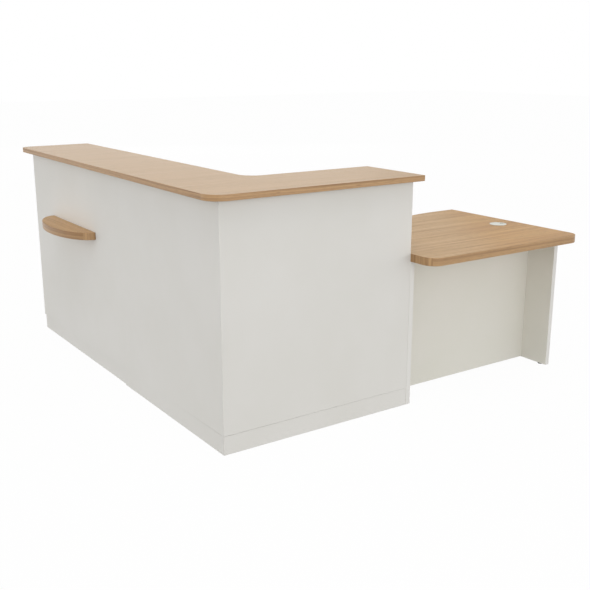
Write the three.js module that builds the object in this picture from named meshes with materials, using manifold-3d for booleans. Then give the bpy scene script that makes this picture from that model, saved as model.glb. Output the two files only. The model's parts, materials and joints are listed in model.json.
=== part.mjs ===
// Reception desk: an L-shaped high counter with a bag shelf and a low desk at the end of its short wing.
// Millimetres, +Z up. The layout is drawn from the near outer corner of the L, with the short wing along
// +X and the long wing along +Y, and the finished group is moved so that its origin is at the centre of
// the footprint, on the floor.
import * as THREE from "three";
import { mergeVertices } from "three/addons/utils/BufferGeometryUtils.js";
import Module from "manifold-3d";

const wasm = await Module();
wasm.setup();

// Boards
const panelBoard = 18;
const sideBoard = 25;
const legBoard = 25;
const counterBoard = 26;
const worktopBoard = 38;

// Heights of the finished surfaces
const counterHeight = 1100;
const worktopHeight = 740;
const plinthHeight = 85;

// Plan of the two counter units
const cornerLength = 1000;
const straightLength = 1200;
const counterDepth = 412;
const longOverhang = 53;
const shortOverhang = 37;
const counterRadius = 80;
const counterEndRadius = 50;
const worktopDepth = 580;
const worktopRadius = 150;
const gableSetback = 20;
const uprightSetback = 20;
const cornerPlinthSetback = 1;
const straightPlinthSetback = 7;

// Battens and posts behind the front panels
const battenSection = 30;
const postSection = 40;

// Bag shelf and the rods that carry it
const shelfLength = 620;
const shelfDepth = 136;
const rodRadius = 6;
const rodReach = 90;
const rodGrip = 60;
const rodSpacing = 360;

// Low desk
const deskLength = 1014;
const deskReach = 145;
const deskRadius = 65;
const deskBack = 780;
const sweepInset = 138;
const sweepLength = 800;
const legInset = 1;
const legReach = 9;
const legSetback = 40;
const modestySetback = 162;
const modestyClearance = 7;

// Levelling feet in the low desk's leg
const footHeight = 5;
const footRadius = 14;
const stemRadius = 4;
const stemLength = 40;
const insertRadius = 6;
const insertLength = 25;
const footInset = 45;

// Cable port in the low desk
const portFromEnd = 132;
const portFromFront = 437;
const portHoleRadius = 40;
const portFlangeRadius = 45;
const portFlangeHeight = 2.5;
const portWall = 2.2;
const portDepth = 24;
const portLedge = 2.5;
const portClearance = 0.6;
const capThickness = 3;
const capSlotWidth = 22;
const capSlotReach = 20;
const shutterThickness = 1.5;
const shutterMargin = 2;
const shutterAngle = Math.PI / 3;
const rivetRadius = 2.5;
const rivetHeadRadius = 8;
const rivetHeadHeight = 1.2;

// Sleeve and screw pairs that tie the units together
const linkHoleRadius = 5;
const linkScrewRadius = 3;
const linkHeadRadius = 8;
const linkHeadHeight = 2.5;
const linkSleeveWall = 1.4;
const linkInset = 90;
const linkHeight = 360;

// Steel angle brackets of the low desk
const bracketLeg = 40;
const bracketWall = 3;
const bracketWidth = 30;
const bracketInset = 60;

// Clearances: between mating faces, at the seam between units and at the joint above the plinths
const fit = 0.3;
const seam = 0.6;
const plinthJoint = 0.8;

// Facets on round pieces
const arcSegments = 16;
const turnedSides = 32;

// Sizes that follow from those above
const wingLength = cornerLength + straightLength;
const cornerEnd = cornerLength - seam / 2;
const straightStart = cornerLength + seam / 2;
const deskStart = straightStart;
const deskEnd = cornerLength + deskLength;
const underCounter = counterHeight - counterBoard;
const underWorktop = worktopHeight - worktopBoard;
const panelFoot = plinthHeight + plinthJoint;
const panelInside = panelBoard + fit;
const longBackEdge = counterDepth - longOverhang;
const shortBackEdge = counterDepth - shortOverhang;
const gableBack = worktopDepth - gableSetback;
const longUprightBack = longBackEdge - uprightSetback;
const shortUprightBack = shortBackEdge - uprightSetback;
const postInside = panelInside + postSection + fit;
const sidePanelInner = deskStart + sideBoard;
const legOuter = deskEnd - legInset;
const legInner = legOuter - legBoard;
const legBack = deskBack - legSetback;
const modestyBack = modestySetback + panelBoard;

// Materials
const finish = (color, roughness, metalness) =>
  new THREE.MeshStandardMaterial({ color, roughness, metalness });
const oak = finish("#ba915c", 0.4, 0);
const white = finish("#dcdad5", 0.5, 0);
const softwood = finish("#d9c19a", 0.8, 0);
const zinc = finish("#b9bcbf", 0.35, 1);
const whitePlastic = finish("#e8e9e2", 0.4, 0);
const blackPlastic = finish("#1d1d1f", 0.6, 0);

const layout = new THREE.Group();

function add(name, material, geometry) {
  const mesh = new THREE.Mesh(geometry, material);
  mesh.name = name;
  layout.add(mesh);
  return mesh;
}

// A square-edged board between low and high limits on each axis
function board([x0, x1], [y0, y1], [z0, z1]) {
  const box = new THREE.BoxGeometry(x1 - x0, y1 - y0, z1 - z0);
  return box.translate((x0 + x1) / 2, (y0 + y1) / 2, (z0 + z1) / 2);
}

// A plan outline raised from z0 to z1
function slab(shape, [z0, z1]) {
  const options = { depth: z1 - z0, bevelEnabled: false, curveSegments: arcSegments };
  return new THREE.ExtrudeGeometry(shape, options).translate(0, 0, z0);
}

// A profile of [radius, height] points, turned about the vertical axis
function turned(profile) {
  const points = profile.map(([radius, height]) => new THREE.Vector2(radius, height));
  return new THREE.LatheGeometry(points, turnedSides).rotateX(Math.PI / 2);
}

// A solid round bar along +Z, from z0 to z1
const bar = (radius, [z0, z1]) => turned([[0, z0], [radius, z0], [radius, z1], [0, z1]]);

// Turns a shape that stands along +Z so that it lies along +X or +Y
const alongX = (geometry) => geometry.rotateY(Math.PI / 2);
const alongY = (geometry) => geometry.rotateX(-Math.PI / 2);

function toSolid(geometry) {
  const bare = geometry.clone();
  bare.deleteAttribute("normal");
  bare.deleteAttribute("uv");
  const merged = mergeVertices(bare, 1e-4);
  const vertProperties = merged.getAttribute("position").array;
  const triVerts = new Uint32Array(merged.getIndex().array);
  return new wasm.Manifold(new wasm.Mesh({ numProp: 3, vertProperties, triVerts }));
}

function cut(geometry, ...tools) {
  const solid = tools.reduce((rest, tool) => rest.subtract(toSolid(tool)), toSolid(geometry));
  const mesh = solid.getMesh();
  const result = new THREE.BufferGeometry();
  result.setAttribute("position", new THREE.BufferAttribute(mesh.vertProperties, 3));
  result.setIndex(new THREE.BufferAttribute(mesh.triVerts, 1));
  result.computeVertexNormals();
  return result;
}

function polygon(points) {
  return new THREE.Shape(points.map(([x, y]) => new THREE.Vector2(x, y)));
}

// Counter top: one L-shaped board over both wings
function counterTop() {
  const lowX = -longOverhang;
  const lowY = -shortOverhang;
  const end = cornerLength + shortOverhang;
  const far = wingLength + longOverhang;
  const radius = counterRadius;
  const endRadius = counterEndRadius;
  const outline = new THREE.Shape();
  outline.moveTo(lowX, lowY + radius);
  outline.absarc(lowX + radius, lowY + radius, radius, Math.PI, 1.5 * Math.PI, false);
  outline.lineTo(end, lowY);
  outline.lineTo(end, shortBackEdge);
  outline.absarc(longBackEdge + radius, shortBackEdge + radius, radius, 1.5 * Math.PI, Math.PI, true);
  outline.lineTo(longBackEdge, far);
  outline.absarc(lowX + endRadius, far - endRadius, endRadius, 0.5 * Math.PI, Math.PI, false);
  add("counter_top", oak, slab(outline, [underCounter, counterHeight]));
}

// Front panels: the corner unit's pair meets in a mitre
function frontPanels() {
  const height = [panelFoot, underCounter - fit];
  const left = polygon([[0, fit], [panelBoard, panelInside], [panelBoard, cornerEnd], [0, cornerEnd]]);
  const right = polygon([[fit, 0], [cornerEnd, 0], [cornerEnd, panelBoard], [panelInside, panelBoard]]);
  add("corner_front_panel_left", white, slab(left, height));
  add("corner_front_panel_right", white, slab(right, height));
  const straight = board([0, panelBoard], [straightStart, wingLength], height);
  add("straight_front_panel", white, cut(straight, ...rods(rodRadius + fit, 0)));
}

// Plinths, with a block behind the mitre of the corner unit's pair
function plinths() {
  const height = [0, plinthHeight];
  const face = cornerPlinthSetback;
  const inside = face + panelBoard;
  const left = polygon([[face, face + fit], [inside, inside + fit], [inside, cornerEnd], [face, cornerEnd]]);
  const right = polygon([[face + fit, face], [cornerEnd, face], [cornerEnd, inside], [inside + fit, inside]]);
  add("corner_plinth_left", white, slab(left, height));
  add("corner_plinth_right", white, slab(right, height));
  const block = [inside + fit, inside + fit + postSection];
  add("corner_plinth_block", softwood, board(block, block, height));
  const back = straightPlinthSetback + panelBoard;
  add("straight_plinth", white, board([straightPlinthSetback, back], [straightStart, wingLength], height));
}

// Where the units are bolted together: distances from the front face, with the height of each link
const gableLinks = [
  [panelInside + linkInset, linkHeight],
  [gableBack - linkInset, linkHeight],
];
const uprightLinks = [[(panelInside + longUprightBack) / 2, (worktopHeight + underCounter) / 2]];

// Holes for the links, through the boards on both sides of a seam
const holeSpan = [cornerLength - 2 * panelBoard, cornerLength + 2 * panelBoard];
const linkHole = () => bar(linkHoleRadius, holeSpan);
const leftLinkHoles = (spots) => spots.map(([x, z]) => alongY(linkHole()).translate(x, 0, z));
const rightLinkHoles = (spots) => spots.map(([y, z]) => alongX(linkHole()).translate(0, y, z));

// Gables carry the worktops, and are notched over the plinths
function gables() {
  const depth = [panelInside, gableBack];
  const height = [0, underWorktop - fit];
  const notch = (setback) => [0, setback + panelBoard + fit];
  const notchHeight = [-plinthHeight, plinthHeight + fit];
  const along = [0, wingLength + panelBoard];
  const cornerNotch = notch(cornerPlinthSetback);
  const straightNotch = board(notch(straightPlinthSetback), along, notchHeight);
  const cornerSpan = [cornerEnd - panelBoard, cornerEnd];
  const leftNotch = board(cornerNotch, along, notchHeight);
  const rightNotch = board(along, cornerNotch, notchHeight);
  const left = board(depth, cornerSpan, height);
  const right = board(cornerSpan, depth, height);
  const inner = board(depth, [straightStart, straightStart + panelBoard], height);
  const outer = board(depth, [wingLength - panelBoard, wingLength], height);
  add("corner_gable_left", white, cut(left, leftNotch, ...leftLinkHoles(gableLinks)));
  add("corner_gable_right", white, cut(right, rightNotch, ...rightLinkHoles(gableLinks)));
  add("straight_gable_inner", white, cut(inner, straightNotch, ...leftLinkHoles(gableLinks)));
  add("straight_gable_outer", white, cut(outer, straightNotch));
}

// Staff worktops, level with the low desk
function worktops() {
  const height = [underWorktop, worktopHeight];
  const outline = new THREE.Shape();
  outline.moveTo(panelInside, panelInside);
  outline.lineTo(cornerEnd, panelInside);
  outline.lineTo(cornerEnd, worktopDepth);
  const bend = worktopDepth + worktopRadius;
  outline.absarc(bend, bend, worktopRadius, 1.5 * Math.PI, Math.PI, true);
  outline.lineTo(worktopDepth, cornerEnd);
  outline.lineTo(panelInside, cornerEnd);
  add("corner_worktop", oak, slab(outline, height));
  const straight = board([panelInside, worktopDepth], [straightStart, wingLength], height);
  add("straight_worktop", oak, cut(straight, ...rods(rodRadius + fit, fit)));
}

// Uprights stand on the worktops and carry the counter
function uprights() {
  const depth = [panelInside, longUprightBack];
  const rightDepth = [panelInside, shortUprightBack];
  const height = [worktopHeight + fit, underCounter - fit];
  const cornerSpan = [cornerEnd - panelBoard, cornerEnd];
  const left = board(depth, cornerSpan, height);
  const inner = board(depth, [straightStart, straightStart + panelBoard], height);
  add("corner_upright_left", white, cut(left, ...leftLinkHoles(uprightLinks)));
  add("corner_upright_right", white, board(cornerSpan, rightDepth, height));
  add("straight_upright_inner", white, cut(inner, ...leftLinkHoles(uprightLinks)));
  add("straight_upright_outer", white, board(depth, [wingLength - panelBoard, wingLength], height));
}

// Posts behind the mitre, and fixing battens along the front panels below each top
function postsAndBattens() {
  const post = [panelInside, panelInside + postSection];
  add("corner_post_lower", softwood, board(post, post, [panelFoot, underWorktop - fit]));
  add("corner_post_upper", softwood, board(post, post, [worktopHeight + fit, underCounter - fit]));
  const section = [panelInside, panelInside + battenSection];
  const cornerRun = [postInside, cornerEnd - panelBoard - fit];
  const straightRun = [straightStart + panelBoard + fit, wingLength - panelBoard - fit];
  for (const [name, under] of [["worktop", underWorktop], ["counter", underCounter]]) {
    const height = [under - fit - battenSection, under - fit];
    add(`${name}_batten_left`, softwood, board(section, cornerRun, height));
    add(`${name}_batten_right`, softwood, board(cornerRun, section, height));
    add(`${name}_batten_straight`, softwood, board(section, straightRun, height));
  }
}

// Rods through the front panel, into the shelf on one side and the worktop's edge on the other
const shelfCentre = straightStart + straightLength / 2;
const rodHeight = worktopHeight - worktopBoard / 2;
const rodPlaces = [shelfCentre - rodSpacing / 2, shelfCentre + rodSpacing / 2];
function rods(radius, slack) {
  const span = [-rodReach - slack, panelInside + rodGrip + slack];
  return rodPlaces.map((y) => alongX(bar(radius, span)).translate(0, y, rodHeight));
}

// Bag shelf: a half-oval board against the straight unit's face
function bagShelf() {
  const outline = new THREE.Shape();
  const half = shelfLength / 2;
  outline.absellipse(-fit, shelfCentre, shelfDepth, half, Math.PI / 2, 1.5 * Math.PI, false, 0);
  const shelf = slab(outline, [underWorktop, worktopHeight]);
  add("bag_shelf", oak, cut(shelf, ...rods(rodRadius + fit, fit)));
  const [near, far] = rods(rodRadius, 0);
  add("shelf_rod_near", zinc, near);
  add("shelf_rod_far", zinc, far);
}

// Links: a flanged sleeve from one side of a seam and a screw into it from the other
function links() {
  const sleeveFace = cornerEnd - panelBoard - fit;
  const unitFace = straightStart + panelBoard + fit;
  const deskFace = sidePanelInner + fit;
  const sleeveRadius = linkHoleRadius - fit;
  const boreRadius = sleeveRadius - linkSleeveWall;
  const sleeve = (screwFace) =>
    turned([
      [boreRadius, sleeveFace - linkHeadHeight],
      [linkHeadRadius, sleeveFace - linkHeadHeight],
      [linkHeadRadius, sleeveFace],
      [sleeveRadius, sleeveFace],
      [sleeveRadius, screwFace - linkHeadHeight],
      [boreRadius, screwFace - linkHeadHeight],
      [boreRadius, sleeveFace - linkHeadHeight],
    ]);
  const screw = (screwFace) =>
    turned([
      [0, sleeveFace],
      [linkScrewRadius, sleeveFace],
      [linkScrewRadius, screwFace],
      [linkHeadRadius, screwFace],
      [linkHeadRadius, screwFace + linkHeadHeight],
      [0, screwFace + linkHeadHeight],
    ]);
  const leftSpots = { front: gableLinks[0], rear: gableLinks[1], upper: uprightLinks[0] };
  const rightSpots = { front: gableLinks[0], rear: gableLinks[1] };
  for (const [place, [x, z]] of Object.entries(leftSpots)) {
    add(`unit_link_${place}_sleeve`, zinc, alongY(sleeve(unitFace)).translate(x, 0, z));
    add(`unit_link_${place}_screw`, zinc, alongY(screw(unitFace)).translate(x, 0, z));
  }
  for (const [place, [y, z]] of Object.entries(rightSpots)) {
    add(`desk_link_${place}_sleeve`, zinc, alongX(sleeve(deskFace)).translate(0, y, z));
    add(`desk_link_${place}_screw`, zinc, alongX(screw(deskFace)).translate(0, y, z));
  }
}

// Low desk: the staff edge sweeps from the corner worktop's depth to the full depth at the leg
const portX = deskEnd - portFromEnd;
const portY = portFromFront - deskReach;
function deskTop() {
  const radius = deskRadius;
  const sweepStart = deskEnd - sweepInset;
  const sweepMiddle = sweepStart - sweepLength / 2;
  const outline = new THREE.Shape();
  outline.moveTo(deskStart, worktopDepth);
  outline.lineTo(deskStart, radius - deskReach);
  outline.absarc(deskStart + radius, radius - deskReach, radius, Math.PI, 1.5 * Math.PI, false);
  outline.absarc(deskEnd - radius, radius - deskReach, radius, -Math.PI / 2, 0, false);
  outline.lineTo(deskEnd, deskBack);
  outline.lineTo(sweepStart, deskBack);
  const sweepEnd = sweepStart - sweepLength;
  outline.bezierCurveTo(sweepMiddle, deskBack, sweepMiddle, worktopDepth, sweepEnd, worktopDepth);
  outline.holes.push(new THREE.Path().absarc(portX, portY, portHoleRadius, 0, 2 * Math.PI, true));
  add("desk_top", oak, slab(outline, [underWorktop, worktopHeight]));
}

const footPlaces = { front: footInset - legReach, rear: legBack - footInset };
const legCentre = (legInner + legOuter) / 2;
function deskPanels() {
  const top = underWorktop - fit;
  const side = board([deskStart, sidePanelInner], [0, gableBack], [0, top]);
  add("desk_side_panel", white, cut(side, ...rightLinkHoles(gableLinks)));
  const leg = board([legInner, legOuter], [-legReach, legBack], [footHeight, top]);
  const boreSpan = [0, footHeight + stemLength + fit];
  const bores = Object.values(footPlaces).map((y) =>
    bar(insertRadius + fit, boreSpan).translate(legCentre, y, 0),
  );
  add("desk_leg", white, cut(leg, ...bores));
  const width = [sidePanelInner + fit, legInner - fit];
  add("desk_modesty_panel", white, board(width, [modestySetback, modestyBack], [modestyClearance, top]));
}

// Levelling feet: each winds in a threaded insert in the leg's lower edge
function levellingFeet() {
  const padTop = footHeight - fit;
  const foot = () =>
    turned([
      [0, 0],
      [footRadius, 0],
      [footRadius, padTop],
      [stemRadius, padTop],
      [stemRadius, stemLength],
      [0, stemLength],
    ]);
  const boreRadius = stemRadius + fit;
  const insertTop = footHeight + insertLength;
  const insert = () =>
    turned([
      [boreRadius, footHeight],
      [insertRadius, footHeight],
      [insertRadius, insertTop],
      [boreRadius, insertTop],
      [boreRadius, footHeight],
    ]);
  for (const [place, y] of Object.entries(footPlaces)) {
    add(`desk_foot_${place}`, blackPlastic, foot()).position.set(legCentre, y, 0);
    add(`foot_insert_${place}`, zinc, insert()).position.set(legCentre, y, 0);
  }
}

// Cable port: a flanged liner, a slotted cap, and a shutter that turns below the cap on a rivet
function cablePort() {
  const port = new THREE.Group();
  port.position.set(portX, portY, worktopHeight);
  layout.add(port);
  const outer = portHoleRadius - portClearance;
  const inner = outer - portWall;
  const ledge = inner - portLedge;
  const seat = -capThickness / 2 - fit;
  const ledgeFoot = seat - portLedge;
  const liner = turned([
    [ledge, ledgeFoot],
    [inner, ledgeFoot],
    [inner, -portDepth],
    [outer, -portDepth],
    [outer, fit],
    [portFlangeRadius, fit],
    [portFlangeRadius, portFlangeHeight],
    [inner, portFlangeHeight],
    [inner, seat],
    [ledge, seat],
    [ledge, ledgeFoot],
  ]);
  port.add(add("port_liner", whitePlastic, liner));

  const capRadius = inner - portClearance;
  const slotHalf = capSlotWidth / 2;
  const slotBend = capRadius - capSlotReach + slotHalf;
  const slotMouth = Math.asin(slotHalf / capRadius);
  const capOutline = new THREE.Shape();
  capOutline.absarc(0, 0, capRadius, slotMouth, 2 * Math.PI - slotMouth, false);
  capOutline.absarc(slotBend, 0, slotHalf, 1.5 * Math.PI, Math.PI / 2, true);
  capOutline.holes.push(new THREE.Path().absarc(0, 0, rivetRadius + fit, 0, 2 * Math.PI, true));
  const capFoot = -capThickness / 2;
  port.add(add("port_cap", whitePlastic, slab(capOutline, [capFoot, -capFoot])));

  const shutterTop = capFoot - fit;
  const shutterFoot = shutterTop - shutterThickness;
  const hub = rivetHeadRadius;
  const shutterRadius = ledge - shutterMargin;
  const firstEdge = Math.PI / 2 - shutterAngle / 2;
  const shutterOutline = new THREE.Shape();
  shutterOutline.absarc(0, 0, shutterRadius, firstEdge, firstEdge + shutterAngle, false);
  shutterOutline.absarc(0, 0, hub, firstEdge + shutterAngle, firstEdge + 2 * Math.PI, false);
  shutterOutline.holes.push(new THREE.Path().absarc(0, 0, rivetRadius + fit, 0, 2 * Math.PI, true));
  port.add(add("port_shutter", whitePlastic, slab(shutterOutline, [shutterFoot, shutterTop])));

  const headTop = shutterFoot - fit;
  const rivet = turned([
    [0, headTop - rivetHeadHeight],
    [rivetHeadRadius, headTop - rivetHeadHeight],
    [rivetHeadRadius, headTop],
    [rivetRadius, headTop],
    [rivetRadius, -capFoot],
    [0, -capFoot],
  ]);
  port.add(add("port_rivet", whitePlastic, rivet));
}

// An angle bracket: one leg runs along +X below z = 0, the other hangs along -Z beside x = 0
function angle() {
  const profile = polygon([
    [0, 0],
    [0, -bracketLeg],
    [bracketWall, -bracketLeg],
    [bracketWall, -bracketWall],
    [bracketLeg, -bracketWall],
    [bracketLeg, 0],
  ]);
  return slab(profile, [-bracketWidth / 2, bracketWidth / 2]).rotateX(Math.PI / 2);
}

function deskBrackets() {
  const under = underWorktop - fit;
  const front = modestyBack + bracketLeg + bracketInset;
  const place = (name, x, y, z) => {
    const bracket = add(`desk_bracket_${name}`, zinc, angle());
    bracket.position.set(x, y, z);
    return bracket.rotation;
  };
  place("side_front", sidePanelInner + fit, front, under);
  place("side_rear", sidePanelInner + fit, gableBack - bracketInset, under);
  place("leg_front", legInner - fit, front, under).z = Math.PI;
  place("leg_rear", legInner - fit, legBack - bracketInset, under).z = Math.PI;
  const third = (legInner - sidePanelInner) / 3;
  place("modesty_left", sidePanelInner + third, modestyBack + fit, under).z = Math.PI / 2;
  place("modesty_right", legInner - third, modestyBack + fit, under).z = Math.PI / 2;
  const middle = underWorktop / 2;
  place("side_middle", sidePanelInner + fit, modestyBack + fit, middle).x = Math.PI / 2;
  place("leg_middle", legInner - fit, modestyBack + fit, middle).set(Math.PI / 2, Math.PI, 0, "YXZ");
}

counterTop();
frontPanels();
plinths();
gables();
worktops();
uprights();
postsAndBattens();
bagShelf();
links();
deskTop();
deskPanels();
levellingFeet();
cablePort();
deskBrackets();

// The origin is at the middle of the footprint, on the floor
const receptionDesk = new THREE.Group();
const footprintLow = -Math.max(longOverhang, shelfDepth + fit);
const middleX = (deskEnd + footprintLow) / 2;
const middleY = (wingLength + longOverhang - deskReach) / 2;
layout.position.set(-middleX, -middleY, 0);
receptionDesk.add(layout);

export default receptionDesk;
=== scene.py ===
import json
import math
import bpy
import bmesh
from mathutils import Matrix, Vector


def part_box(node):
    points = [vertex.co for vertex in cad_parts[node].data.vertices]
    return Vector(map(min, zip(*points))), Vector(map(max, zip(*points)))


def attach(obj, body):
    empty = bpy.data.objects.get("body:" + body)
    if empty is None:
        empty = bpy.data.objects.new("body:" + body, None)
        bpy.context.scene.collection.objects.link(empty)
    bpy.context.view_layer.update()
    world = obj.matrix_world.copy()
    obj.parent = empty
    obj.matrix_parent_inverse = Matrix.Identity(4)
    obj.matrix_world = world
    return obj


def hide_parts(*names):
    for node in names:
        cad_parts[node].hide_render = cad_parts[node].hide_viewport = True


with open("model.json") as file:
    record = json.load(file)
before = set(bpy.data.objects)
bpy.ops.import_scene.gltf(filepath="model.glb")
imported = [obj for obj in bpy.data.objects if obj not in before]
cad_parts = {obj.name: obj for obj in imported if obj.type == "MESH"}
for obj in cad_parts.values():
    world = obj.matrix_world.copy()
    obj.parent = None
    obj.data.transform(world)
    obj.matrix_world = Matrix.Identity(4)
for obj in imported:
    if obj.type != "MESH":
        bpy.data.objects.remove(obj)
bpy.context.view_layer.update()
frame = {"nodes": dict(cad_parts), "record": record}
print("frame loaded:", len(frame["nodes"]), "pieces of the desk")

# camera and light

camera = {
    "stand": (-2.5861, -3.9938, 1.6044),  # where the photographer stands
    "lookAt": (-0.6275, -1.1231, 0.6645),
    "lens": 53.49,  # mm on a 36 mm wide sensor
}
studio = {
    "skyLight": 2.35,
    "skyShares": [(0.0, 0.024), (0.4, 0.214), (0.5, 0.714), (0.57, 1.0), (0.66, 0.467), (0.8, 0.171), (1.0, 0.335)],
    "softBoxes": {  # where each stands, what it aims at, its width and height in metres and its power in watts
        "overheadLight": ((-1.7, -2.2, 6.0), (-0.9, -0.9, 0.8), (2.2, 2.2), 73.0),
        "frontFill": ((0.0, -4.6, 0.5), (0.2, -0.9, 0.4), (3.6, 0.8), 11.0),
        "backLight": ((5.5, 11.0, 2.0), (-0.4, -0.4, 1.0), (7.0, 2.2), 57.0),
    },
    "floorSize": 60.0,
    "floorGlow": 0.965,  # share of the floor that shows plain white, the rest takes the shadow
}


# adds one node, sets its properties and sockets, and links the sockets that come from other nodes
def addNode(tree, kind, settings=None, inputs=None):
    node = tree.nodes.new(kind)
    for name, value in (settings or {}).items():
        if name == "stops":
            ramp = node.color_ramp.elements
            ramp[0].position, ramp[0].color = value[0]
            ramp[1].position, ramp[1].color = value[-1]
            for place, colour in value[1:-1]:
                ramp.new(place).color = colour
        else:
            setattr(node, name, value)
    for socket, value in (inputs or {}).items():
        if isinstance(value, bpy.types.NodeSocket):
            tree.links.new(value, node.inputs[socket])
        else:
            node.inputs[socket].default_value = value
    return node


# one sRGB hex value to a linear colour
def toLinear(hexColour):
    parts = [int(hexColour[i:i + 2], 16) / 255 for i in (1, 3, 5)]
    return [c / 12.92 if c <= 0.04045 else ((c + 0.055) / 1.055) ** 2.4 for c in parts] + [1.0]


# rays that look at the background: straight from the camera, off a glossy face, or through something clear
def seenDirectly(tree):
    path = addNode(tree, "ShaderNodeLightPath")
    straight = addNode(tree, "ShaderNodeMath", {"operation": "ADD", "use_clamp": True},
                       {0: path.outputs["Is Camera Ray"], 1: path.outputs["Is Glossy Ray"]})
    through = addNode(tree, "ShaderNodeMath", {"operation": "ADD", "use_clamp": True},
                      {0: straight.outputs[0], 1: path.outputs["Is Transmission Ray"]})
    return through.outputs[0]


def softBox(name, stand, aim, size, power):
    light = bpy.data.lights.new(name, "AREA")
    light.shape = "RECTANGLE"
    light.size, light.size_y = size
    light.energy = power
    lamp = bpy.data.objects.new(name, light)
    lamp.location = stand
    lamp.rotation_euler = (Vector(aim) - Vector(stand)).to_track_quat("-Z", "Y").to_euler()
    bpy.context.scene.collection.objects.link(lamp)


def buildStudio():
    scene = bpy.context.scene
    scene.view_settings.view_transform = "Standard"

    lens = bpy.data.cameras.new("photoCamera")
    lens.lens = camera["lens"]
    lens.sensor_width = 36.0
    eye = bpy.data.objects.new("photoCamera", lens)
    eye.location = camera["stand"]
    look = Vector(camera["lookAt"]) - Vector(camera["stand"])
    eye.rotation_euler = look.to_track_quat("-Z", "Y").to_euler()
    scene.collection.objects.link(eye)
    scene.camera = eye

    world = bpy.data.worlds.new("whiteRoom")
    scene.world = world
    world.use_nodes = True
    tree = world.node_tree
    tree.nodes.clear()
    way = addNode(tree, "ShaderNodeTexCoord").outputs["Generated"]
    height = addNode(tree, "ShaderNodeSeparateXYZ", None, {0: way}).outputs["Z"]
    rise = addNode(tree, "ShaderNodeMapRange", None, {0: height, 1: -1.0, 2: 1.0, 3: 0.0, 4: 1.0}).outputs[0]
    stops = [(place, (share, share, share, 1)) for place, share in studio["skyShares"]]
    sky = addNode(tree, "ShaderNodeValToRGB", {"stops": stops}, {"Fac": rise}).outputs["Color"]
    room = addNode(tree, "ShaderNodeBackground", None, {"Color": sky, "Strength": studio["skyLight"]})
    backdrop = addNode(tree, "ShaderNodeBackground", None, {"Color": (1, 1, 1, 1), "Strength": 1.0})
    either = addNode(tree, "ShaderNodeMixShader", None,
                     {0: seenDirectly(tree), 1: room.outputs[0], 2: backdrop.outputs[0]})
    addNode(tree, "ShaderNodeOutputWorld", None, {"Surface": either.outputs[0]})

    for name, (stand, aim, size, power) in studio["softBoxes"].items():
        softBox(name, stand, aim, size, power)

    # white painted floor, which shows as plain white and keeps a soft shadow
    paint = bpy.data.materials.new("white_floor_paint")
    paint.use_nodes = True
    tree = paint.node_tree
    tree.nodes.clear()
    matt = addNode(tree, "ShaderNodeBsdfDiffuse", None, {"Color": toLinear("#f4f4f2")})
    glow = addNode(tree, "ShaderNodeEmission", None, {"Color": (1, 1, 1, 1), "Strength": 1.0})
    share = addNode(tree, "ShaderNodeMath", {"operation": "MULTIPLY"}, {0: seenDirectly(tree), 1: studio["floorGlow"]})
    both = addNode(tree, "ShaderNodeMixShader", None, {0: share.outputs[0], 1: matt.outputs[0], 2: glow.outputs[0]})
    addNode(tree, "ShaderNodeOutputMaterial", None, {"Surface": both.outputs[0]})
    half = studio["floorSize"] / 2
    mesh = bpy.data.meshes.new("studioFloor")
    mesh.from_pydata([(-half, -half, 0), (half, -half, 0), (half, half, 0), (-half, half, 0)], [], [(0, 1, 2, 3)])
    mesh.materials.append(paint)
    floor = bpy.data.objects.new("studioFloor", mesh)
    floor.visible_diffuse = False  # the sky's lower half lights the object from below, as in a light tent
    scene.collection.objects.link(floor)


buildStudio()
print("studio ready: camera, soft boxes, white floor")


# materials

# a new material with its shader; what is the same all over is set on the shader's own sockets
def newFinish(name, sockets):
    material = bpy.data.materials.new(name)
    material.use_nodes = True
    tree = material.node_tree
    tree.nodes.clear()
    shader = addNode(tree, "ShaderNodeBsdfPrincipled", None, sockets)
    addNode(tree, "ShaderNodeOutputMaterial", None, {"Surface": shader.outputs[0]})
    return material, tree, shader


# sizes of the oak figure in millimetres: length along the grain, width across it
oakFace = {
    "light": "#bd935b", "middle": "#b88d54", "dark": "#b2874e", "line": "#7d5a33", "pore": "#86623c",
    "bandLength": 1600, "bandWidth": 48,
    "streakLength": 700, "streakWidth": 6, "streakFrom": 0.55, "streakDepth": 0.65,
    "poreLength": 46, "poreWidth": 1.6, "poreDepth": 0.5,
    "waver": 0.014,  # metres that a grain line wanders
    "sheen": (0.36, 0.44),  # roughness of the ground and of the streaks
    "paintedLight": None,  # tint of a zone of painted light, and where it starts and is full on a slant across the grain
}
# the counter's copy of the oak foil is paler and less saturated: painted sheen, the grazing reflection on the counter
# top
oakCounterPaintedSheen = dict(oakFace, light="#b69468", middle="#b29063", dark="#ae8c5e", line="#8d6b46", streakDepth=0.22)
# the low desk's copy of the oak foil, with a warmer zone of painted light across part of its top
oakDesk = dict(oakFace, light="#cbaa7c", middle="#c39f70", dark="#b58f60", streakDepth=0.8, sheen=(0.47, 0.55),
               paintedLight=("#fcedc8", 5.98, 6.36))
# the shelf's copy of the oak foil is lighter to offset the shade it stands in: painted light
oakShelfPaintedLight = dict(oakFace, light="#c49a64", middle="#bd925b", dark="#b48850")
oakEdge = dict(oakFace, light="#c09a6e", middle="#b18b60", dark="#9b764d", line="#76553a",
               bandLength=2200, bandWidth=13, streakLength=500, streakWidth=5, streakFrom=0.52, streakDepth=0.55)
oakDeskEdge = dict(oakEdge, light="#b99467", middle="#ad885d", dark="#987249")


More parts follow.
